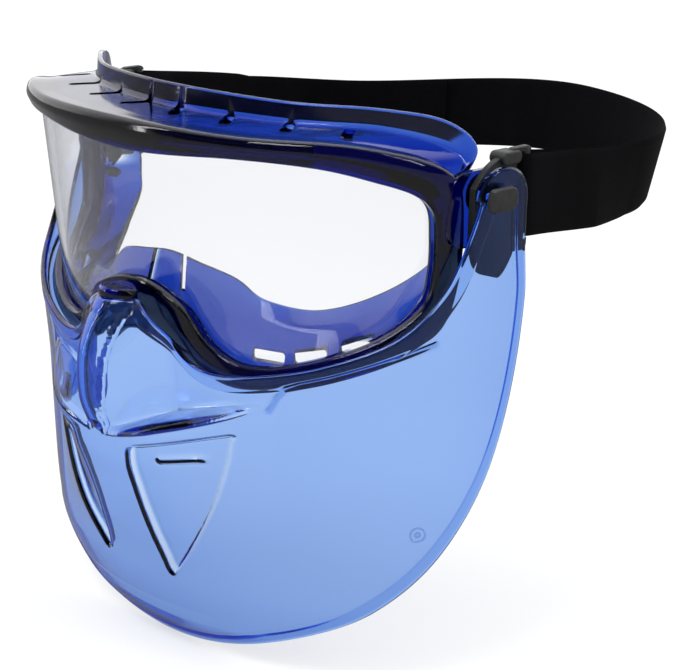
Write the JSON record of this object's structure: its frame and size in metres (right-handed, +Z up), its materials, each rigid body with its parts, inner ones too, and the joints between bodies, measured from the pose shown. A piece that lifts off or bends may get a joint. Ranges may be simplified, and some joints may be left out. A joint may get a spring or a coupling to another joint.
{
  "type": "splash goggle with flip-up face shield",
  "caption": "Splash goggle with vents, clear lens, elastic headband and a translucent lower face shield that flips up on temple pins.",
  "frame": {"origin": "middle of the bounding box in plan, on the lowest point of the shield's chin (z = 0)", "axes": "+Z up as worn, -Y the way the wearer looks, +X the wearer's left; the shield's hinge line is parallel to X"},
  "size_m": [0.1958, 0.2142, 0.182],
  "materials": {
    "frame_vinyl": "glossy deep-blue translucent soft vinyl",
    "lens_clear": "clear polished polycarbonate",
    "shield_blue": "polished light-blue translucent polycarbonate",
    "clip_black": "matte moulded near-black nylon",
    "webbing_black": "black knitted elastic webbing"
  },
  "bodies": {
    "goggle": {"goggle_frame": "frame_vinyl", "lens": "lens_clear", "upper_vent_baffle": "frame_vinyl", "pivot_pin_left": "clip_black", "pivot_pin_right": "clip_black", "pivot_retainer_left": "clip_black", "pivot_retainer_right": "clip_black"},
    "shield": {"face_shield": "shield_blue"},
    "strap": {"headband": "webbing_black", "strap_clip_left": "clip_black", "strap_clip_right": "clip_black"}
  },
  "joints": [
    {"name": "shield_flip", "type": "hinge", "parent": "goggle", "child": "shield", "pos_m": [0, -0.02367, 0.1555], "axis": [-1, 0, 0], "range_deg": [0, 100]},
    {"name": "headband_swing", "type": "hinge", "parent": "goggle", "child": "strap", "pos_m": [0, -0.02367, 0.1555], "axis": [1, 0, 0], "range_deg": [-15, 15]}
  ]
}
